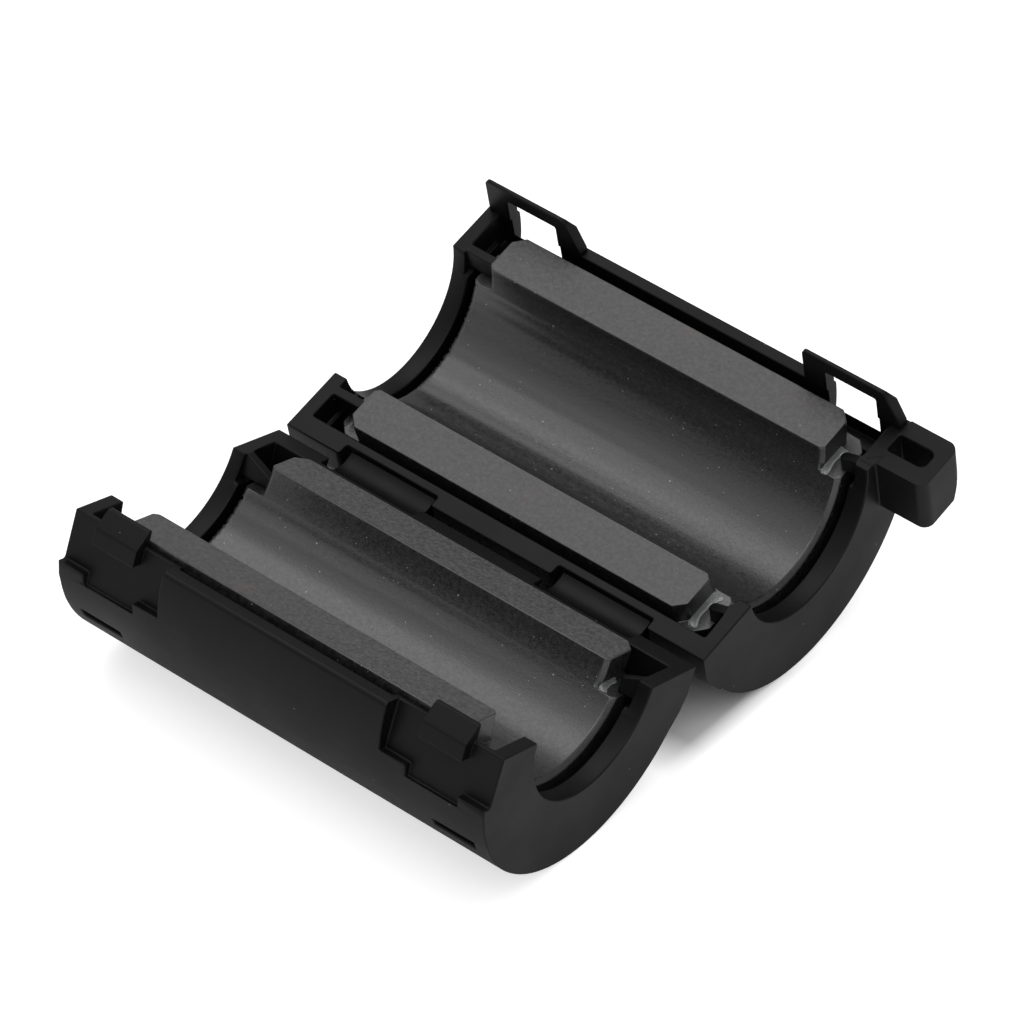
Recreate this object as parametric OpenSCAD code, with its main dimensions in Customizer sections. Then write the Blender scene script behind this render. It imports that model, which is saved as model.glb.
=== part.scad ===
// Clip-on ferrite bead for a round cable, shown open.
// X runs along the cable, +Y points to the half with the latch loops, +Z up.
// The origin is the middle of the box on the surface that the open clip lies on.

/* [Case] */
// Length of the case along the cable
case_len = 36; // [34:0.5:42]
// Thickness of the shell between the core's cavity and the outside
shell_t = 1.6; // [1.5:0.05:1.8]
// Thickness of the end walls
end_wall = 1.1; // [0.8:0.05:1.4]
// Free length between an end wall and the core
end_gap = 1; // [0.8:0.05:1.4]
// Extra thickness of an end wall round the lower part of its opening
collar = 0.35; // [0.2:0.05:0.5]
// How much larger the opening in an end wall is than the bore, in radius
opening_over = 0.35; // [0.2:0.05:0.6]
// Gap between the core and the shell around it
core_gap = 0.3; // [0.2:0.05:0.4]
// Angle that each half's parting face rises away from the hinge
tilt = 16.6; // [10:0.1:20]

/* [Ferrite core] */
// Outer radius of the core
core_r = 9.8; // [9:0.1:12]
// Thickness of the core from its bore to its outside
core_t = 3.55; // [3.4:0.05:3.8]
// Height of the core's flats above the shell's rim
core_proud = 0.34; // [0.2:0.01:0.5]
// Length of the notches in the core's ends beside its flats
core_notch = 1.4; // [1.1:0.05:1.6]
// Depth of these notches below the shell's rim
core_notch_h = 1.8; // [1.6:0.05:2.2]
// Chamfer on the core's outer ends
core_chamfer = 0.8; // [0.4:0.1:1.2]
// Chamfer on the ends of the bore
bore_chamfer = 0.35; // [0.1:0.05:0.5]

/* [Hinge] */
// Distance from the hinge line to the flange of the half with the teeth
hinge_gap = 0.48; // [0.44:0.01:0.6]
// How far the flange of the half with the teeth stands out over the round shell
flange_step = 0.15; // [0.1:0.01:0.3]
// How far the flange of the half with the loops stands out over the round shell
flange_step_window = 0.3; // [0.2:0.01:0.35]
// Height of the flange's flat outer face
flange_h = 2.2; // [1.8:0.1:3]
// Start of the first hinge notch from the end of the case
notch_start = 4.65; // [4:0.05:5.5]
// Length of a hinge notch
notch_len = 8.05; // [7.8:0.05:8.5]
// Distance from the second hinge notch to the end of the case
notch_end = 4.85; // [4:0.05:5.5]
// Depth of a hinge notch into the flange of the half with the loops
notch_depth = 0.9; // [0.7:0.05:1]
// Depth of a hinge notch into the flange of the half with the teeth
notch_depth_tooth = 1.15; // [0.9:0.05:1.2]
// Height of a hinge notch
notch_h = 2.4; // [2:0.1:3]
// Gap between a strap's first end and its notch
strap_side = 0.3; // [0.15:0.05:0.6]
// Gap between a strap's second end and its notch
strap_far = 0.35; // [0.15:0.05:0.6]
// Thickness of a hinge strap
strap_t = 0.5; // [0.4:0.05:0.6]
// Depth of a strap's lowest line below the hinge line
strap_sag = 1.22; // [1.1:0.01:1.3]
// Outer bend radius of a strap
strap_r = 2.3; // [2.2:0.05:2.5]
// How far a strap's lowest line lies towards the half with the loops
strap_shift = 0.12; // [0:0.01:0.2]

/* [Latch] */
// Length of a latch loop
loop_len = 8.1; // [7.8:0.05:8.3]
// Distance from a loop to the end of the case
loop_inset = 0.2; // [0.1:0.05:0.3]
// Height of a latch loop above the rim
loop_h = 3.3; // [3.2:0.05:3.6]
// Depth of a loop's inner face below the round shell's outside
loop_depth = 1.1; // [1:0.01:1.15]
// Thickness of a latch loop
loop_t = 0.9; // [0.8:0.05:1]
// Chamfer on a loop's first top corner
loop_corner = 0.3; // [0.2:0.05:0.5]
// Length of the larger chamfer on a loop's second top corner
loop_cut_len = 1.1; // [0.5:0.05:1.2]
// Height of the larger chamfer
loop_cut_h = 2.9; // [1:0.05:3]
// Distance from the end of the case to a window
window_x = 2.1; // [1.9:0.05:2.3]
// Length of a window
window_len = 4.25; // [4.1:0.05:4.4]
// Top of a window above the rim
window_top = 2.05; // [2:0.05:2.15]
// Sill of a window below the rim
window_sill = 1.65; // [1.5:0.05:1.9]
// Play between a tooth and its window at each side
tooth_play = 0.35; // [0.2:0.05:0.5]
// Height of a tooth above the rim
tooth_top = 1.23; // [1:0.01:1.3]
// Depth of a tooth's catch below the rim
tooth_catch = 1.3; // [1.2:0.01:1.31]
// Depth of a tooth's tip below the round shell's outside
tooth_depth = 0.4; // [0.2:0.05:0.6]
// Depth of the flat behind a loop below the round shell's outside
recess_depth = 1.3; // [1.3:0.01:1.4]
// Length of a latch recess from the end of the case
recess_len = 8.6; // [8.5:0.05:9]
// Depth of a latch recess below the rim
recess_h = 3.75; // [3.6:0.05:4]
// Extra depth of the recess below a tooth
recess_step = 0.95; // [0.6:0.05:1.1]

/* [Cable tie lug] */
// Length of the lug beyond the case
lug_len = 4; // [3.5:0.1:4.5]
// Width of the lug
lug_w = 4.25; // [4:0.05:4.6]
// Height of the lug
lug_h = 4.9; // [4:0.1:5.2]
// Corner radius of the lug
lug_corner = 0.8; // [0.4:0.1:1.2]
// Length of the tie slot
slot_len = 2.95; // [2.6:0.05:3]
// Width of the tie slot
slot_w = 1.5; // [1.3:0.05:1.6]
// Depth of the tie slot's middle line below the round shell's outside
slot_depth = 2.1; // [2:0.05:2.3]

/* [Spring fingers and adhesive] */
// Thickness of a spring finger
finger_t = 0.75; // [0.6:0.05:1]
// Gap between a spring finger and the floor of the core's notch
finger_gap = 0.05; // [0.02:0.01:0.1]
// Angle by which the fingers with a sloping top lean down
finger_bend = 22; // [0:1:24]
// Distance from the core's outside to the middle of a finger on the hinge side
finger_inset = 2; // [1.8:0.05:2.2]
// The same distance in the half with the teeth
finger_inset_tooth = 2.6; // [2.4:0.05:2.8]
// Distance from the bore to the middle of the finger on the latch side
finger_offset = 0.9; // [0.7:0.05:1]
// Length of the short fingers at the second end
finger_short = 1.6; // [1.2:0.1:1.8]
// Radius of an adhesive dab
dab_r = 0.7; // [0.5:0.05:0.75]

/* [Hidden] */
$fn = 96;
black = [0.07, 0.07, 0.075];
ferrite = [0.23, 0.23, 0.24];
clear = [0.75, 0.75, 0.72];
e = 0.01;
bore_r = core_r - core_t;
opening_r = bore_r + opening_over;
cavity_r = core_r + core_gap;
case_r = cavity_r + shell_t;
end_room = end_gap + core_notch;
core_x = end_wall + end_room;
finger_h = core_notch_h - finger_gap;
core_end = case_len - core_x;
core_len = core_end - core_x;
// Height of the bore's axis above the rim: the two cores meet on it
axis_w = core_proud;
flange_reach = case_r + flange_step;
flange_reach_window = case_r + flange_step_window;
hinge_reach = flange_reach + hinge_gap;
second_notch = case_len - notch_end - notch_len;
strap_len = notch_len - strap_side - strap_far;
loop_reach = case_r - loop_depth;
tooth_reach = case_r - tooth_depth;
recess_reach = case_r - recess_depth;
lug_near = case_r - lug_w;
slot_mid = case_r - slot_depth;
finger_hinge = core_r - finger_inset;
finger_hinge_tooth = core_r - finger_inset_tooth;
finger_latch = bore_r + finger_offset;
rest_z = case_r - hinge_reach * sin(tilt);
rest_x = -(case_len + lug_len) / 2;
// Reliefs of the cavity beside the rim, and the rims' outer edges
wall_latch_window = case_r - 0.95;
wall_hinge_window = case_r - 1.3;
wall_latch_tooth = recess_reach;
rim_window = case_r - 0.1;
rim_tooth = case_r - 0.2;
rim_relief = 3;
wall_low = rim_relief + e;
tooth_inner = core_r + 0.15;
tooth_x = window_x + tooth_play;
tooth_len = window_len - 2 * tooth_play;
sill_slope = 1.95;
pry_angle = 42;
pry_x = 1.3;
pry_len = 3.4;

// A half's own frame has its rim at height 0 and its bore's axis over Y = 0,
// with the latch side at +Y. These two put the halves where they lie.
module window_place() {
    translate([rest_x, 0, rest_z])
        rotate([tilt, 0, 0])
            translate([0, hinge_reach, 0])
                children();
}

module tooth_place() {
    mirror([0, 1, 0])
        window_place()
            children();
}

// A prism from x0 to x1 with a drawn section: its X is Y here, its Y is Z.
module slab(x0, x1) {
    translate([x0, 0, 0])
        rotate([90, 0, 90])
            linear_extrude(x1 - x0)
                children();
}

// A section mirrored to the second end of the case.
module both_ends() {
    children();
    translate([case_len, 0, 0])
        mirror([1, 0, 0])
            children();
}

// Outer section of a half shell with its hinge flange.
module shell_outline(rim, flange) {
    intersection() {
        union() {
            intersection() {
                circle(case_r);
                polygon([[-case_r - 1, -case_r - 1], [case_r + 1, -case_r - 1],
                    [case_r + 1, -rim_relief / 2], [rim, 0], [-case_r - 1, 0]]);
            }
            polygon([[-flange, 0], [-flange, -flange_h],
                [0.4 - flange, -flange_h - 1.2], [1.25 - flange, -flange_h - 2.7],
                [-core_r, -flange_h - 2.7], [-core_r, 0]]);
        }
        translate([-2 * case_r, -2 * case_r])
            square([4 * case_r, 2 * case_r]);
    }
}

// Cavity section: round, with straight reliefs beside the rim.
module cavity_outline(hinge_wall, latch_wall) {
    circle(cavity_r);
    translate([-hinge_wall, -rim_relief])
        square([hinge_wall + latch_wall, rim_relief + 1]);
}

// Thicker lower part of an end wall, round its opening.
module collar_outline() {
    difference() {
        intersection() {
            circle(cavity_r + e);
            translate([-case_r, -2 * case_r - core_notch_h - 0.3])
                square([2 * case_r, 2 * case_r]);
        }
        end_opening();
    }
}

module end_opening() {
    translate([0, axis_w])
        circle(opening_r);
}

// Notches in a flange that the hinge straps lie in.
module hinge_notches(flange, depth) {
    for (x0 = [notch_start, second_notch])
        translate([x0, -flange - 1, -notch_h])
            cube([notch_len, depth + 1, notch_h + 1]);
}

// Finger from an end wall towards the core, over the notch in the core's end.
module finger(y, x0, x1) {
    translate([x0, y - finger_t / 2, -finger_h])
        cube([x1 - x0, finger_t, finger_h]);
}

// Space under a plane that leans down from an end wall into the case.
module under_slope(bend) {
    translate([end_wall, -case_r, 0])
        rotate([0, bend, 0])
            translate([-1, 0, -2 * core_r])
                cube([2 * core_x, 2 * case_r, 2 * core_r]);
}

// Long finger at the first end and short finger with a round tip at the second end.
module finger_pair(y, bend) {
    tip = end_wall + finger_short - finger_t / 2;
    intersection() {
        finger(y, end_wall - e, core_x);
        under_slope(bend);
    }
    translate([case_len, 0, 0])
        mirror([1, 0, 0])
            intersection() {
                union() {
                    finger(y, end_wall - e, tip);
                    translate([tip, y, -finger_h])
                        cylinder(h = finger_h, r = finger_t / 2);
                }
                under_slope(finger_bend);
            }
}

// Opening behind a latch loop: its sill slopes down to the outside.
module window_cut() {
    out = case_r + 1;
    sill_in = loop_reach + 0.15;
    slab(window_x, window_x + window_len)
        polygon([[loop_reach - 1, window_top], [out, window_top],
            [out, -window_sill - sill_slope * (out - sill_in)],
            [sill_in, -window_sill], [loop_reach - 1, -window_sill]]);
}

// Lug that a cable tie goes through.
module lug() {
    far = lug_len + e - lug_corner;
    intersection() {
        translate([case_len - e, 0, -lug_h])
            linear_extrude(lug_h)
                union() {
                    translate([0, lug_near])
                        square([far, case_r - lug_near]);
                    translate([0, lug_near + lug_corner])
                        square([far + lug_corner, case_r - lug_near - 2 * lug_corner]);
                    for (y = [lug_near + lug_corner, case_r - lug_corner])
                        translate([far, y])
                            circle(lug_corner, $fn = 48);
                }
        slab(case_len - 1, case_len + lug_len + 1)
            circle(case_r);
    }
}

module tie_slot() {
    r = slot_w / 3;
    translate([case_len, slot_mid - slot_w / 2, -lug_h - 1])
        linear_extrude(lug_h + 2) {
            square([slot_len - r, slot_w]);
            translate([0, r])
                square([slot_len, slot_w - 2 * r]);
            for (y = [r, slot_w - r])
                translate([slot_len - r, y])
                    circle(r, $fn = 32);
        }
}

module window_shell() {
    color(black)
        window_place()
            union() {
                difference() {
                    union() {
                        slab(0, case_len)
                            shell_outline(rim_window, flange_reach_window);
                        lug();
                    }
                    slab(end_wall, case_len - end_wall)
                        cavity_outline(wall_hinge_window, wall_latch_window);
                    slab(-1, case_len + 1)
                        end_opening();
                    hinge_notches(flange_reach_window, notch_depth);
                    both_ends()
                        window_cut();
                    tie_slot();
                }
                both_ends()
                    slab(end_wall - e, end_wall + collar)
                        collar_outline();
                finger_pair(-finger_hinge, 0);
                finger_pair(finger_latch, 0);
            }
}

// Recess that a loop slides into, deeper below the tooth.
module latch_recess() {
    translate([-1, recess_reach, -recess_h])
        cube([recess_len + 1, 4, recess_h + 2]);
    translate([window_x + 0.1, recess_reach, -recess_h - recess_step])
        cube([window_len, 4, recess_h + 2]);
}

// Wall between the recess and the core, with the tooth on it.
module tooth_and_wall() {
    slab(end_wall - e, recess_len + 0.4)
        polygon([[tooth_inner, 0], [tooth_inner, -wall_low], [recess_reach, -wall_low], [recess_reach, 0]]);
    slab(tooth_x, tooth_x + tooth_len)
        polygon([[tooth_inner, -wall_low], [tooth_inner, tooth_top], [tooth_inner + 0.3, tooth_top],
            [tooth_reach, 0], [tooth_reach, -tooth_catch],
            [recess_reach, -tooth_catch], [recess_reach, -wall_low]]);
}

// Small slot in the outer wall for a tool that opens the latch.
module pry_slot() {
    rotate([-pry_angle, 0, 0])
        translate([pry_x, case_r - 0.7, -0.5])
            cube([pry_len, 2, 1]);
}

module tooth_shell() {
    color(black)
        tooth_place()
            union() {
                difference() {
                    slab(0, case_len)
                        shell_outline(rim_tooth, flange_reach);
                    slab(end_wall, case_len - end_wall)
                        cavity_outline(cavity_r, wall_latch_tooth);
                    slab(-1, case_len + 1)
                        end_opening();
                    hinge_notches(flange_reach, notch_depth_tooth);
                    both_ends() {
                        latch_recess();
                        pry_slot();
                    }
                }
                both_ends() {
                    tooth_and_wall();
                    slab(end_wall - e, end_wall + collar)
                        collar_outline();
                }
                finger_pair(-finger_hinge_tooth, finger_bend);
            }
}

// A loop that starts at x0: two jambs and a bar over its window.
module latch_loop(x0) {
    x1 = x0 + loop_len;
    u1 = loop_reach + loop_t;
    difference() {
        intersection() {
            slab(x0, x1)
                polygon([[loop_reach, 0], [loop_reach, loop_h], [loop_reach + 0.3, loop_h],
                    [u1, loop_h - 1.15], [u1, 0]]);
            translate([0, u1 + 1, 0])
                rotate([90, 0, 0])
                    linear_extrude(loop_t + 2)
                        polygon([[x0, 0], [x0, loop_h - loop_corner], [x0 + loop_corner, loop_h],
                            [x1 - loop_cut_len, loop_h], [x1, loop_h - loop_cut_h], [x1, 0]]);
        }
        both_ends()
            window_cut();
    }
}

module latch_loop_left() {
    color(black)
        window_place()
            latch_loop(loop_inset);
}

module latch_loop_right() {
    color(black)
        window_place()
            latch_loop(case_len - loop_inset - loop_len);
}

// Sagging web between the two flanges, cut off at the walls of the notches.
module strap_section() {
    a = (hinge_reach - flange_reach_window + notch_depth) / cos(tilt) - e;
    a_tooth = (hinge_gap + notch_depth_tooth) / cos(tilt) - e;
    top = 0.3;
    intersection() {
        translate([strap_shift, strap_r - strap_sag])
            difference() {
                circle(strap_r);
                circle(strap_r - strap_t);
            }
        polygon([[-a_tooth + top * tan(tilt), top], [a - top * tan(tilt), top],
            [a + strap_r * tan(tilt), -strap_r], [-a_tooth - strap_r * tan(tilt), -strap_r]]);
    }
}

module strap(x0) {
    color(black)
        translate([rest_x, 0, rest_z])
            slab(x0, x0 + strap_len)
                strap_section();
}

module hinge_strap_left() {
    strap(notch_start + strap_side);
}

module hinge_strap_right() {
    strap(second_notch + strap_side);
}

// Full ring from x0 to x1 with chamfered ends.
module core_ring(x0, x1) {
    l = x1 - x0;
    translate([x0, 0, axis_w])
        rotate([0, 90, 0])
            rotate_extrude()
                polygon([[bore_r + bore_chamfer, 0], [core_r - core_chamfer, 0],
                    [core_r, core_chamfer], [core_r, l - core_chamfer],
                    [core_r - core_chamfer, l], [bore_r + bore_chamfer, l],
                    [bore_r, l - bore_chamfer], [bore_r, bore_chamfer]]);
}

// Everything above a height.
module above(w) {
    translate([-case_len, -2 * case_r, w])
        cube([3 * case_len, 4 * case_r, 3 * case_r]);
}

// Half ring with its flats core_proud above the rim, notched beside them at both ends.
module core_half() {
    difference() {
        core_ring(core_x, core_end);
        above(axis_w);
    }
    difference() {
        core_ring(core_x - core_notch, core_end + core_notch);
        above(-core_notch_h);
    }
}

module window_core() {
    color(ferrite)
        window_place()
            core_half();
}

module tooth_core() {
    color(ferrite)
        tooth_place()
            core_half();
}

// Dab on the floor of the core's notch, between the core and the tip of a short finger.
module dab(y) {
    translate([core_end, y, dab_r + finger_gap - core_notch_h])
        rotate([0, 90, 0])
            cylinder(h = end_room - finger_short, r = dab_r);
}

module adhesive_window_latch() {
    color(clear)
        window_place()
            dab(finger_latch);
}

module adhesive_window_hinge() {
    color(clear)
        window_place()
            dab(-finger_hinge);
}

module adhesive_tooth_hinge() {
    color(clear)
        tooth_place()
            dab(-finger_hinge_tooth);
}

window_shell();
tooth_shell();
latch_loop_left();
latch_loop_right();
hinge_strap_left();
hinge_strap_right();
window_core();
tooth_core();
adhesive_window_latch();
adhesive_window_hinge();
adhesive_tooth_hinge();
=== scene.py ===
"""Clip-on ferrite bead, lying open: a moulded case, two ferrite halves, hinge straps and adhesive.

The clip's lengths are millimetres, and MM makes them metres. The floor, the lamps and the camera's clipping
are in metres. Each half has a frame of its own: x along the cable from the plain end of the case, u from the
bore's axis towards the latch, w up from the rim. The halves lie tilted.
"""
import math

import bmesh
import bpy
from mathutils import Matrix, Vector, noise
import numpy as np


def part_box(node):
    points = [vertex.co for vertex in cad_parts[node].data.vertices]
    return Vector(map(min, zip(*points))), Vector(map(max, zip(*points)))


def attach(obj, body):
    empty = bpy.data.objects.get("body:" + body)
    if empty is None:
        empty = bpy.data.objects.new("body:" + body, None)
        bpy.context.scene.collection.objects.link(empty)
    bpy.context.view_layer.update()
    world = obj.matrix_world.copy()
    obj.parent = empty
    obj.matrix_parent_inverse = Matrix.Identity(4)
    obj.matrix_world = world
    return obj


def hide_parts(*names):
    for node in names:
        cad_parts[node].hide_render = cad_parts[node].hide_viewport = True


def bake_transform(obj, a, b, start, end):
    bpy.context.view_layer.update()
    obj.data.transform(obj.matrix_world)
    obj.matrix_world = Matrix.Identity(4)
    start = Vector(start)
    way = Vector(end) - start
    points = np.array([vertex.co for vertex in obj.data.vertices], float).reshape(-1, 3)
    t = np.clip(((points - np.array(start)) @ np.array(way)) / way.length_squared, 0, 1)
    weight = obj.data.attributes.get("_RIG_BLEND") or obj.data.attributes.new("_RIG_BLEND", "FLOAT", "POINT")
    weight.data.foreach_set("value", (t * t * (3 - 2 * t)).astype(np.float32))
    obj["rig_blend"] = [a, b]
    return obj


MM = 0.001
ALONG, ACROSS, UP = range(3)

# The snap case, the lug for a cable tie at its end, how far the middle of a half is from the hinge, how far
# a half leans, and the height of its rim at the hinge.
CASE_LENGTH = 36.0
CASE_RADIUS = 11.7
LUG_LENGTH = 4.0
HINGE_REACH = 12.33
TILT = math.radians(16.6)
RIM_HEIGHT = CASE_RADIUS - HINGE_REACH * math.sin(TILT)

# A ferrite half: how far it stands above the rim, where its end face is above the notch, the height of the
# notch's floor, how far that floor stands out, and the bore.
CORE_PROUD = 0.34
CORE_END = 32.5
NOTCH_FLOOR = -1.8
END_NOTCH = 1.4
BORE_RADIUS = 6.25

# Radii of the edges. An edge's bevel weight is its share of the largest.
LARGEST_RADIUS = 0.5
CASE_EDGE = 0.13
CORE_EDGE = 0.1
STRAP_EDGE = 0.08

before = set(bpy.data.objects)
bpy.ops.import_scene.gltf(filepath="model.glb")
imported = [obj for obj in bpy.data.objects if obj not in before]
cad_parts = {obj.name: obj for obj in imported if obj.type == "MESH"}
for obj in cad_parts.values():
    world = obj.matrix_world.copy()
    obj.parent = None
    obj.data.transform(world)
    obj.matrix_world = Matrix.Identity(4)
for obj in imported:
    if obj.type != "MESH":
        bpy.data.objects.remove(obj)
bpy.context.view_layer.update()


# ---------------------------------------------------------------- places and meshes

def half_matrix(side):
    """From a half's own frame to the clip's, in metres; side 1 has the loops, -1 the teeth."""
    lean = Matrix.Rotation(TILT, 4, "X")
    reach = Matrix.Translation((0, HINGE_REACH, 0))
    rest = Matrix.Translation((-(CASE_LENGTH + LUG_LENGTH) / 2, 0, RIM_HEIGHT))
    turn = Matrix.Diagonal((1, side, 1, 1))
    return Matrix.Scale(MM, 4) @ turn @ rest @ lean @ reach


WINDOW = half_matrix(1)
TOOTH = half_matrix(-1)


def new_object(name, data):
    """An object of this data in the scene."""
    obj = bpy.data.objects.new(name, data)
    bpy.context.scene.collection.objects.link(obj)
    return obj


def mesh_object(name, bm):
    """An object made from a bmesh, which is freed."""
    mesh = bpy.data.meshes.new(name)
    bm.to_mesh(mesh)
    bm.free()
    return new_object(name, mesh)


def settle(obj):
    """Applies the modifiers: the evaluated shape becomes the object's plain mesh."""
    bpy.context.view_layer.update()
    made = bpy.data.meshes.new_from_object(obj.evaluated_get(bpy.context.evaluated_depsgraph_get()))
    obj.modifiers.clear()
    obj.data = made
    return obj


def smooth(obj, angle=40):
    """Shades smooth, but keeps edges sharper than an angle in degrees."""
    obj.data.shade_smooth()
    obj.data.set_sharp_from_angle(angle=math.radians(angle))
    return obj


def solid_copy(cad_nodes, name):
    """A merged copy of CAD nodes as one clean solid, with flat areas joined into single faces."""
    weld, clean, flat = 0.002 * MM, 0.004 * MM, math.radians(0.6)
    base = None
    for node_name in cad_nodes:
        bm = bmesh.new()
        bm.from_mesh(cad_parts[node_name].data)
        bmesh.ops.remove_doubles(bm, verts=bm.verts, dist=weld)
        piece = mesh_object(name if base is None else node_name + "_copy", bm)
        if base is None:
            base = piece
            continue
        join = base.modifiers.new("join", "BOOLEAN")
        join.operation = "UNION"
        join.solver = "EXACT"
        join.object = piece
        settle(base)
        bpy.data.objects.remove(piece)
    bm = bmesh.new()
    bm.from_mesh(base.data)
    bmesh.ops.remove_doubles(bm, verts=bm.verts, dist=clean)
    bmesh.ops.dissolve_degenerate(bm, edges=bm.edges, dist=clean)
    bmesh.ops.dissolve_limit(bm, angle_limit=flat, verts=bm.verts, edges=bm.edges)
    bm.to_mesh(base.data)
    bm.free()
    return base


# ---------------------------------------------------------------- moulded edges

def heading(edge):
    """An edge's direction."""
    return (edge.verts[1].co - edge.verts[0].co).normalized()


def in_line(edge, other):
    """Whether two edges run roughly the same way."""
    return abs(heading(edge).dot(heading(other))) > 0.8


def room(edge):
    """The largest radius that an edge's neighbours leave for it: a share of the shortest."""
    share = 0.42
    least = 1.0
    for face in edge.link_faces:
        for other in face.edges:
            meets = other is not edge and set(other.verts) & set(edge.verts)
            if meets and not in_line(edge, other):
                least = min(least, share * other.calc_length() / MM)
    return least


def even_runs(radii):
    """Gives the edges that run on into each other one radius: the least of theirs."""
    changed = True
    while changed:
        changed = False
        for edge, radius in radii.items():
            for vert in edge.verts:
                for other in vert.link_edges:
                    if radii.get(other, 0) > radius and in_line(edge, other):
                        radii[other] = radius
                        changed = True


def rounded(obj, radius, steps=3, angle=28, special=None):
    """Rounds the edges sharper than an angle by a radius; special gives an edge's own radius, or None.
    Edges whose faces fold back on each other are left alone."""
    sharp, folded = math.radians(angle), math.radians(160)
    bm = bmesh.new()
    bm.from_mesh(obj.data)
    layers = bm.edges.layers.float
    weight = layers.get("bevel_weight_edge") or layers.new("bevel_weight_edge")
    radii = {}
    for edge in bm.edges:
        if len(edge.link_faces) == 2 and sharp < edge.calc_face_angle() < folded:
            own = special(edge) if special else None
            radii[edge] = min(own or radius, room(edge))
    even_runs(radii)
    for edge, own in radii.items():
        edge[weight] = own / LARGEST_RADIUS
    bm.to_mesh(obj.data)
    bm.free()
    bevel = obj.modifiers.new("edges", "BEVEL")
    bevel.width = LARGEST_RADIUS * MM
    bevel.segments = steps
    bevel.limit_method = "WEIGHT"
    bevel.use_clamp_overlap = False
    bevel.miter_outer = "MITER_ARC"
    settle(obj)
    smooth(obj)
    flat = obj.modifiers.new("faces", "WEIGHTED_NORMAL")
    flat.keep_sharp = True
    return settle(obj)


def case_corners(place):
    """The case's own radii: soft on a loop's top corners, on the rim beside an end opening and on the ends of
    a hinge flange, and crisp at a loop's foot and in a latch window."""
    back = place.inverted()
    # Where they are, in the half's own frame.
    loop_top = 2.5
    opening_near, opening_far = 6.0, 7.2
    flange = -11.8
    loop_foot = 10.5
    at_rim, by_rim = 0.02, 0.05
    window_wall, window_foot, window_head = 10.4, -1.7, 2.1
    window_start, window_end = 1.9, 6.5

    def radius(edge):
        a, b = (back @ v.co for v in edge.verts)
        x, u, w = (a + b) / 2
        main = max(range(3), key=lambda axis: abs((b - a)[axis]))
        if main == ACROSS and w > loop_top:
            return 0.5
        if main == ACROSS and abs(w) < at_rim and u > loop_foot:
            return 0.02
        if main == ALONG and abs(w) < by_rim and opening_near < abs(u) < opening_far:
            return 0.45
        if main == UP and u < flange:
            return 0.4
        in_window = window_start < min(x, CASE_LENGTH - x) < window_end and window_foot < w < window_head
        if main == UP and u > window_wall and in_window:
            return 0.05
        return None

    return radius


# ---------------------------------------------------------------- finishes

def linear(colour):
    """An sRGB hex colour as linear RGBA."""
    parts = [int(colour[i:i + 2], 16) / 255 for i in (1, 3, 5)]
    return [c / 12.92 if c <= 0.04045 else ((c + 0.055) / 1.055) ** 2.4 for c in parts] + [1.0]


def add(tree, kind, inputs=None, output=0, **settings):
    """Adds a node and gives an output; an input is a number, a colour or the socket that feeds it."""
    made = tree.nodes.new(kind)
    for key, value in settings.items():
        setattr(made, key, value)
    for key, value in (inputs or {}).items():
        if isinstance(value, bpy.types.NodeSocket):
            tree.links.new(value, made.inputs[key])
        else:
            made.inputs[key].default_value = value
    return made.outputs[output] if made.outputs else None


def empty_material(name):
    """A new material and its node tree, with nothing in it."""
    material = bpy.data.materials.new(name)
    material.use_nodes = True
    material.node_tree.nodes.clear()
    return material, material.node_tree


def per_metre(size_mm):
    """The texture scale that repeats about once in size_mm."""
    return 1 / (size_mm * MM)


def any_of(tree, patterns):
    """1 where any of several patterns is."""
    found = patterns[0]
    for pattern in patterns[1:]:
        found = add(tree, "ShaderNodeMath", {0: found, 1: pattern}, operation="MAXIMUM")
    return found


def crease(tree, place, start, end, width):
    """1 on a fine line between two points of the window half, 0 beside it."""
    a = WINDOW @ Vector(start)
    along = WINDOW @ Vector(end) - a
    offset = add(tree, "ShaderNodeVectorMath", {0: place, 1: a}, operation="SUBTRACT")
    reach = add(tree, "ShaderNodeVectorMath", {0: offset, 1: along / along.length_squared},
                output="Value", operation="DOT_PRODUCT")
    held = add(tree, "ShaderNodeClamp", {"Value": reach})
    foot = add(tree, "ShaderNodeVectorMath", {0: along, "Scale": held}, operation="SCALE")
    gap = add(tree, "ShaderNodeVectorMath", {0: offset, 1: foot}, output="Value", operation="DISTANCE")
    return add(tree, "ShaderNodeMapRange", {"Value": gap, "From Min": width * MM, "From Max": width * MM / 2})


def specks(tree, place, cell, radius, share):
    """Loose dust: 1 inside specks of a radius, about one in each cell, of which a share is kept."""
    distance = add(tree, "ShaderNodeTexVoronoi", {"Vector": place, "Scale": per_metre(cell)},
                   output="Distance")
    lot = add(tree, "ShaderNodeSeparateColor", {"Color": distance.node.outputs["Color"]})
    inside = add(tree, "ShaderNodeMapRange", {"Value": distance, "From Min": radius / cell,
                                              "From Max": 0.7 * radius / cell})
    kept = add(tree, "ShaderNodeMapRange", {"Value": lot, "From Min": share, "From Max": share - 0.02})
    return add(tree, "ShaderNodeMath", {0: inside, 1: kept}, operation="MULTIPLY")


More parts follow.
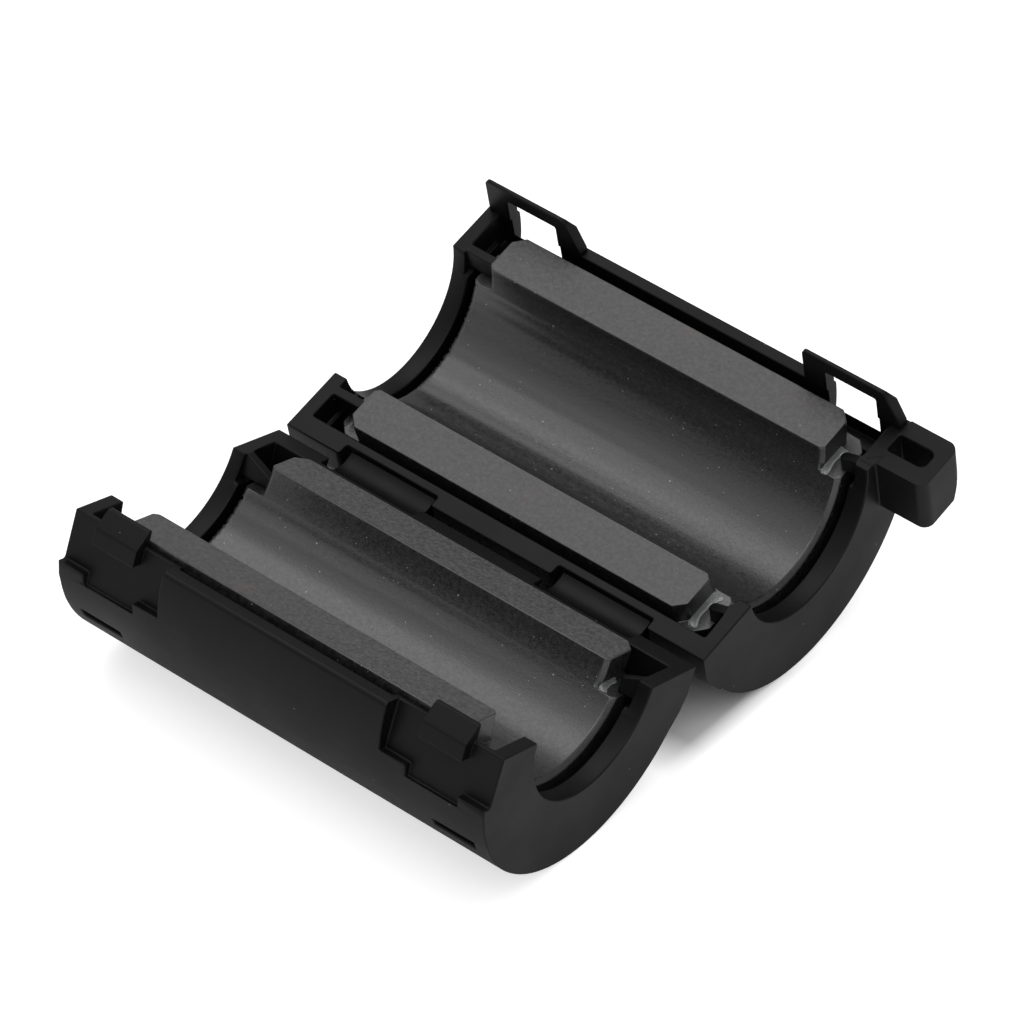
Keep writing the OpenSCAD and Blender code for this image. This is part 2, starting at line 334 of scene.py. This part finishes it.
def black_nylon():
    """Injection-moulded black nylon: satin black with soft highlights on its edges, a spark-eroded grain that
    breaks them up, a little lint, and dark knit lines where the melt met beside the lug. The grain is drawn
    a little coarse, so that it shows."""
    material, tree = empty_material("black_nylon")
    place = add(tree, "ShaderNodeTexCoord", output="Object")
    flow = add(tree, "ShaderNodeTexNoise", {"Vector": place, "Scale": per_metre(5), "Detail": 4.0})
    drift = add(tree, "ShaderNodeMapRange", {"Value": flow, "From Min": 0.3, "From Max": 0.75})
    colour = add(tree, "ShaderNodeMix", {0: drift, 6: linear("#080809"), 7: linear("#0b0b0b")},
                 output=2, data_type="RGBA")
    knit = any_of(tree, [crease(tree, place, (34.9, 7.2, 0), (35.95, 7.2, 0), 0.13),
                         crease(tree, place, (35.3, 7.55, 0), (36.1, 8.35, 0), 0.1),
                         crease(tree, place, (36.05, 7.2, 0), (36.1, 8.4, 0), 0.09)])
    colour = add(tree, "ShaderNodeMix", {0: knit, 6: colour, 7: linear("#020202")},
                 output=2, data_type="RGBA")
    lint = specks(tree, place, 1.6, 0.07, 0.35)
    colour = add(tree, "ShaderNodeMix", {0: lint, 6: colour, 7: linear("#6c6c6e")},
                 output=2, data_type="RGBA")
    satin = add(tree, "ShaderNodeMapRange", {"Value": flow, "From Min": 0.3, "From Max": 0.7,
                                             "To Min": 0.42, "To Max": 0.52})
    grain = add(tree, "ShaderNodeTexNoise", {"Vector": place, "Scale": per_metre(0.16), "Detail": 3.0,
                                             "Roughness": 0.6})
    height = add(tree, "ShaderNodeMath", {0: knit, 1: -30.0, 2: grain}, operation="MULTIPLY_ADD")
    bump = add(tree, "ShaderNodeBump", {"Height": height, "Strength": 0.2, "Distance": 0.02 * MM})
    shader = add(tree, "ShaderNodeBsdfPrincipled", {"Base Color": colour, "Roughness": satin, "Normal": bump,
                                                    "IOR": 1.53, "Specular IOR Level": 0.21})
    add(tree, "ShaderNodeOutputMaterial", {"Surface": shader})
    return material


def ferrite(name, low, high, bloom, rough, ior, grain_mm, relief, dust, rust):
    """Nickel-zinc ferrite: a dark ceramic grey that drifts between two colours, with black pores and a paler
    fine bloom, under shares of dust and of rusty stains. The bloom is drawn coarser than the real grain,
    which is too fine to show."""
    material, tree = empty_material(name)
    place = add(tree, "ShaderNodeTexCoord", output="Object")
    cloud = add(tree, "ShaderNodeTexNoise", {"Vector": place, "Scale": per_metre(6), "Detail": 5.0})
    drift = add(tree, "ShaderNodeMapRange", {"Value": cloud, "From Min": 0.3, "From Max": 0.7})
    colour = add(tree, "ShaderNodeMix", {0: drift, 6: linear(low), 7: linear(high)},
                 output=2, data_type="RGBA")
    patch = add(tree, "ShaderNodeTexNoise", {"Vector": place, "Scale": per_metre(4.5), "Detail": 2.0})
    patch = add(tree, "ShaderNodeMapRange", {"Value": patch, "From Min": 0.62, "From Max": 0.74})
    stain = add(tree, "ShaderNodeMath", {0: patch, 1: rust}, operation="MULTIPLY")
    colour = add(tree, "ShaderNodeMix", {0: stain, 6: colour, 7: linear("#6e4a44")},
                 output=2, data_type="RGBA")
    pores = add(tree, "ShaderNodeTexNoise", {"Vector": place, "Scale": per_metre(0.25), "Detail": 2.0})
    pores = add(tree, "ShaderNodeMapRange", {"Value": pores, "From Min": 0.7, "From Max": 0.78})
    colour = add(tree, "ShaderNodeMix", {0: pores, 6: colour, 7: linear("#0c0c0d")},
                 output=2, data_type="RGBA")
    mottle = add(tree, "ShaderNodeTexNoise", {"Vector": place, "Scale": per_metre(0.3), "Detail": 3.0,
                                              "Roughness": 0.7})
    pale = add(tree, "ShaderNodeMapRange", {"Value": mottle, "From Min": 0.35, "From Max": 0.75})
    colour = add(tree, "ShaderNodeMix", {0: pale, 6: colour, 7: linear(bloom)}, output=2, data_type="RGBA")
    sheen = add(tree, "ShaderNodeMapRange", {"Value": mottle, "From Min": 0.35, "From Max": 0.65,
                                             "To Min": rough - 0.07, "To Max": rough + 0.07})
    powder = any_of(tree, [specks(tree, place, 1.1, 0.07, dust), specks(tree, place, 0.6, 0.045, dust)])
    colour = add(tree, "ShaderNodeMix", {0: powder, 6: colour, 7: linear("#98989a")},
                 output=2, data_type="RGBA")
    grain = add(tree, "ShaderNodeTexNoise", {"Vector": place, "Scale": per_metre(grain_mm), "Detail": 4.0,
                                             "Roughness": 0.7})
    bump = add(tree, "ShaderNodeBump", {"Height": grain, "Strength": relief, "Distance": 0.03 * MM})
    shader = add(tree, "ShaderNodeBsdfPrincipled", {"Base Color": colour, "Roughness": sheen, "Normal": bump,
                                                    "IOR": ior})
    add(tree, "ShaderNodeOutputMaterial", {"Surface": shader})
    return material


def clear_adhesive():
    """Cured clear adhesive: glossy and faintly milky, a pale glint on the dark parts."""
    material, tree = empty_material("clear_adhesive")
    shader = add(tree, "ShaderNodeBsdfPrincipled", {"Base Color": linear("#b0b3b3"), "Roughness": 0.1,
                                                    "IOR": 1.5, "Transmission Weight": 0.6,
                                                    "Coat Weight": 0.6})
    add(tree, "ShaderNodeOutputMaterial", {"Surface": shader})
    return material


NYLON = black_nylon()
ADHESIVE = clear_adhesive()
# As it left the kiln: nearly black, with a glaze-like gloss in the bore.
SKIN = ferrite("sintered_ferrite", low="#111112", high="#141415", bloom="#29292a", rough=0.36, ior=1.92,
               grain_mm=0.2, relief=0.6, dust=0.5, rust=0.0)
# Ground flat where the halves meet: lighter, duller and stained.
GROUND = ferrite("ground_ferrite", low="#383839", high="#3c3c3d", bloom="#606061", rough=0.5, ior=1.66,
                 grain_mm=0.1, relief=0.5, dust=0.12, rust=0.35)


def finish(obj, material):
    """Gives a piece its material, in its first slot."""
    obj.data.materials.clear()
    obj.data.materials.append(material)


# ---------------------------------------------------------------- the case

window_case = solid_copy(["window_shell", "latch_loop_left", "latch_loop_right"], "window_case")
rounded(window_case, CASE_EDGE, special=case_corners(WINDOW))
finish(window_case, NYLON)
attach(window_case, "window_half")
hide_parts("window_shell", "latch_loop_left", "latch_loop_right")

tooth_case = solid_copy(["tooth_shell"], "tooth_case")
rounded(tooth_case, CASE_EDGE, special=case_corners(TOOTH))
finish(tooth_case, NYLON)
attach(tooth_case, "tooth_half")
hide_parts("tooth_shell")


# ---------------------------------------------------------------- hinge straps

def hinge_strap(name, cad_node):
    """A thin sagging web that bends round the hinge, with a short straight run into the front flange."""
    low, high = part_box(cad_node)
    # The web's two radii, its lowest point from the rim, and how far it is set back from the hinge's axis.
    radii = (1.8, 2.3)
    lowest, shift = -1.22, 0.12
    from_angle, to_angle, straight = math.radians(-52), math.radians(46), 0.45
    turn_steps, straight_steps = 24, 4
    middle = RIM_HEIGHT + lowest + radii[1]
    bm = bmesh.new()
    rows = []
    for i in range(-straight_steps, turn_steps + 1):
        angle = from_angle + (to_angle - from_angle) * max(i, 0) / turn_steps
        run = straight * min(i, 0) / straight_steps
        ring = [(shift + r * math.sin(angle) + run * math.cos(angle),
                 middle - r * math.cos(angle) + run * math.sin(angle)) for r in radii]
        rows.append([[bm.verts.new((x, y * MM, z * MM)) for x in (low.x, high.x)] for y, z in ring])
    sides = (((0, 0), (0, 1)), ((0, 1), (1, 1)), ((1, 1), (1, 0)), ((1, 0), (0, 0)))
    for a, b in zip(rows, rows[1:]):
        for p, q in sides:
            bm.faces.new([a[p[0]][p[1]], a[q[0]][q[1]], b[q[0]][q[1]], b[p[0]][p[1]]])
    for end in (rows[0], rows[-1]):
        bm.faces.new([end[0][0], end[0][1], end[1][1], end[1][0]])
    bmesh.ops.recalc_face_normals(bm, faces=bm.faces)
    strap = rounded(mesh_object(name, bm), STRAP_EDGE, steps=2, angle=60)
    finish(strap, NYLON)
    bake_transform(strap, "window_half", "tooth_half",
             start=(0, 1.3 * MM, RIM_HEIGHT * MM), end=(0, -1.6 * MM, RIM_HEIGHT * MM))
    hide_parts(cad_node)


hinge_strap("strap_left", "hinge_strap_left")
hinge_strap("strap_right", "hinge_strap_right")


# ---------------------------------------------------------------- ferrite halves

def chip_bore_end(obj, place, seed):
    """Small bites out of the bore's edge at the plain end, where brittle ferrite breaks."""
    reach, depth, band = 0.6, 0.3, 0.5
    coarse, fine = 16, 45
    start = CASE_LENGTH - CORE_END - END_NOTCH
    back = place.inverted()
    bm = bmesh.new()
    bm.from_mesh(obj.data)

    def by_bore(vert):
        x, u, w = back @ vert.co
        above_bore = math.hypot(u, w - CORE_PROUD) - BORE_RADIUS
        return x < start + reach and -0.05 < above_bore < band

    def around(edge):
        ends = [back @ vert.co for vert in edge.verts]
        return abs(ends[0].x - ends[1].x) < 0.02 and all(by_bore(vert) for vert in edge.verts)

    bmesh.ops.bisect_plane(bm, geom=bm.verts[:] + bm.edges[:] + bm.faces[:], dist=0.001 * MM,
                           plane_co=place @ Vector((start + reach + 0.02, 0, 0)), plane_no=(1, 0, 0))
    bmesh.ops.subdivide_edges(bm, edges=[edge for edge in bm.edges if around(edge)], cuts=7)
    for vert in bm.verts:
        if not by_bore(vert):
            continue
        at = back @ vert.co
        angle = math.atan2(at.y, CORE_PROUD - at.z)
        bite = noise.noise(Vector((angle * coarse, seed, 0)))
        bite += 0.6 * noise.noise(Vector((angle * fine, seed, 1)))
        at.x += depth * max(bite, 0) * (1 - (at.x - start) / reach)
        vert.co = place @ at
    bm.to_mesh(obj.data)
    bm.free()
    return smooth(obj)


def ferrite_half(name, cad_node, body, place):
    """A half ring of ferrite: fired skin, and ground flats where it meets the other half."""
    core = rounded(solid_copy([cad_node], name), CORE_EDGE, steps=2)
    chip_bore_end(core, place, seed=4.0)
    finish(core, SKIN)
    core.data.materials.append(GROUND)
    up = (place.to_3x3() @ Vector((0, 0, 1))).normalized()
    level, broad = 0.995, 20 * MM * MM
    for face in core.data.polygons:
        if face.normal.dot(up) > level and face.area > broad:
            face.material_index = 1
    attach(core, body)
    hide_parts(cad_node)


ferrite_half("ferrite_window", "window_core", "window_half", WINDOW)
ferrite_half("ferrite_tooth", "tooth_core", "tooth_half", TOOTH)


# ---------------------------------------------------------------- adhesive

def meniscus(name, cad_node, body, place, start, end, reach_start, reach_end, seed):
    """Adhesive drawn along the foot of the core's end face from u start to end, thin at a finger's tip and
    reaching out on both sides of it."""
    rows, columns = 44, 14
    climb, skirt, waist = 0.34, 0.05, 0.12
    bm = bmesh.new()
    tops, feet = [], []
    for i in range(rows + 1):
        s = i / rows
        u = start + (end - start) * s
        close = math.sqrt(max(1 - abs(2 * s - 1) ** 8, 0.0004))
        reach = (waist + (reach_start - waist) * (1 - s) ** 3 + (reach_end - waist) * s ** 3) * close
        reach *= 1 + 0.3 * noise.noise(Vector((u * 1.6, seed, 0)))
        top, foot = [], []
        for j in range(columns + 1):
            q = j / columns
            x = CORE_END + reach * q
            w = NOTCH_FLOOR + (skirt + climb * (1 - q) ** 2.4) * close
            w += 0.04 * noise.noise(Vector((x, u, seed))) * close
            top.append(bm.verts.new(place @ Vector((x, u, w))))
            foot.append(bm.verts.new(place @ Vector((x, u, NOTCH_FLOOR))))
        tops.append(top)
        feet.append(foot)
    for i in range(rows):
        for j in range(columns):
            bm.faces.new([tops[i][j], tops[i + 1][j], tops[i + 1][j + 1], tops[i][j + 1]])
            bm.faces.new([feet[i][j], feet[i][j + 1], feet[i + 1][j + 1], feet[i + 1][j]])
        for j in (0, columns):
            bm.faces.new([tops[i][j], feet[i][j], feet[i + 1][j], tops[i + 1][j]])
    for i in (0, rows):
        for j in range(columns):
            bm.faces.new([tops[i][j], tops[i][j + 1], feet[i][j + 1], feet[i][j]])
    bmesh.ops.recalc_face_normals(bm, faces=bm.faces)
    drop = smooth(mesh_object(name, bm), 50)
    finish(drop, ADHESIVE)
    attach(drop, body)
    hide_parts(cad_node)


meniscus("glue_window_latch", "adhesive_window_latch", "window_half", WINDOW,
         start=5.75, end=8.35, reach_start=0.75, reach_end=0.85, seed=1.0)
meniscus("glue_window_hinge", "adhesive_window_hinge", "window_half", WINDOW,
         start=-9.4, end=-6.15, reach_start=0.8, reach_end=1.0, seed=2.0)
meniscus("glue_tooth_hinge", "adhesive_tooth_hinge", "tooth_half", TOOTH,
         start=-8.0, end=-5.95, reach_start=0.25, reach_end=0.8, seed=3.0)


# ---------------------------------------------------------------- floor, light and camera

def open_view(tree):
    """1 where the camera sees a surface, also through clear adhesive."""
    camera_ray = add(tree, "ShaderNodeLightPath", output="Is Camera Ray")
    return any_of(tree, [camera_ray, camera_ray.node.outputs["Is Transmission Ray"]])


def near(tree, value, middle, inner, outer):
    """1 where a coordinate is within inner of middle, falling to 0 at outer."""
    offset = add(tree, "ShaderNodeMath", {0: value, 1: middle * MM}, operation="SUBTRACT")
    size = add(tree, "ShaderNodeMath", {0: offset}, operation="ABSOLUTE")
    return add(tree, "ShaderNodeMapRange", {"Value": size, "From Min": inner * MM, "From Max": outer * MM,
                                            "To Min": 1.0, "To Max": 0.0})


def floor():
    """Matt white table: it keeps the clip's soft shadow. The camera sees it lifted to plain white, but in a
    patch placed by position under the rear half the lift is left out: painted shade over the real shade
    there, which shows through the slit at the hinge."""
    bm = bmesh.new()
    bmesh.ops.create_grid(bm, x_segments=1, y_segments=1, size=1.5)
    ground = mesh_object("floor", bm)
    material, tree = empty_material("white_table")
    x = add(tree, "ShaderNodeSeparateXYZ", {"Vector": add(tree, "ShaderNodeTexCoord", output="Object")})
    # Painted shade: a patch set by position under the rear half, where the camera's lift is left out, so the
    # floor there shows darker than the open floor.
    painted_shade_patch = add(tree, "ShaderNodeMath", {0: near(tree, x, -LUG_LENGTH / 2, 17.2, 18.8),
                                         1: near(tree, x.node.outputs["Y"], 6, 5, 9)}, operation="MULTIPLY")
    open_floor = add(tree, "ShaderNodeMath", {0: 1.0, 1: painted_shade_patch}, operation="SUBTRACT")
    seen = add(tree, "ShaderNodeMath", {0: open_view(tree), 1: open_floor}, operation="MULTIPLY")
    lift = add(tree, "ShaderNodeMath", {0: seen, 1: 0.62}, operation="MULTIPLY")
    cloth = add(tree, "ShaderNodeBsdfDiffuse", {"Color": linear("#f2f2f2")})
    glow = add(tree, "ShaderNodeEmission", {"Color": (1, 1, 1, 1), "Strength": lift})
    add(tree, "ShaderNodeOutputMaterial", {"Surface": add(tree, "ShaderNodeAddShader", {0: cloth, 1: glow})})
    ground.data.materials.append(material)


def lamp(name, azimuth, elevation, size, power):
    """A square softbox that faces the clip; its azimuth is in degrees from behind towards the right."""
    distance = 1.2
    turn, rise = math.radians(azimuth), math.radians(elevation)
    towards = Vector((math.sin(turn) * math.cos(rise), math.cos(turn) * math.cos(rise), math.sin(rise)))
    light = bpy.data.lights.new(name, "AREA")
    light.shape = "SQUARE"
    light.size = size
    light.energy = power
    obj = new_object(name, light)
    obj.location = distance * towards
    obj.rotation_euler = (-towards).to_track_quat("-Z", "Y").to_euler()


def studio():
    """A white room, dimmer for the object than for the camera, with four softboxes."""
    floor()
    world = bpy.data.worlds.new("studio")
    bpy.context.scene.world = world
    world.use_nodes = True
    tree = world.node_tree
    tree.nodes.clear()
    dim = 0.33
    strength = add(tree, "ShaderNodeMath", {0: open_view(tree), 1: 1 - dim, 2: dim}, operation="MULTIPLY_ADD")
    sky = add(tree, "ShaderNodeBackground", {"Color": (1, 1, 1, 1), "Strength": strength})
    add(tree, "ShaderNodeOutputWorld", {"Surface": sky})
    lamp("softbox_top", azimuth=0, elevation=90, size=1.4, power=2.2)
    lamp("softbox_left", azimuth=290, elevation=65, size=0.9, power=2.8)
    lamp("softbox_right", azimuth=135, elevation=55, size=0.9, power=3.9)
    lamp("fill_front", azimuth=230, elevation=35, size=0.9, power=0.9)
    bpy.context.scene.view_settings.view_transform = "Standard"


def camera():
    """A long lens from the front right, turned a little about its axis."""
    azimuth, elevation, roll = (math.radians(a) for a in (34.865, 40.614, 5.066))
    distance, to_right, to_top = 408.33, 1.623, 2.126
    back = Vector((math.sin(azimuth) * math.cos(elevation), -math.cos(azimuth) * math.cos(elevation),
                   math.sin(elevation)))
    level = Vector((math.cos(azimuth), math.sin(azimuth), 0))
    upright = back.cross(level)
    right = math.cos(roll) * level + math.sin(roll) * upright
    up = math.cos(roll) * upright - math.sin(roll) * level
    middle = Vector((-LUG_LENGTH / 2, 0, RIM_HEIGHT))
    place = (middle + to_right * right + to_top * up + distance * back) * MM
    data = bpy.data.cameras.new("camera")
    data.lens = 212.52
    data.sensor_width = 36
    data.clip_start = 0.01
    data.clip_end = 10
    obj = new_object("camera", data)
    obj.matrix_world = Matrix.Translation(place) @ Matrix((right, up, back)).transposed().to_4x4()
    bpy.context.scene.camera = obj


studio()
camera()
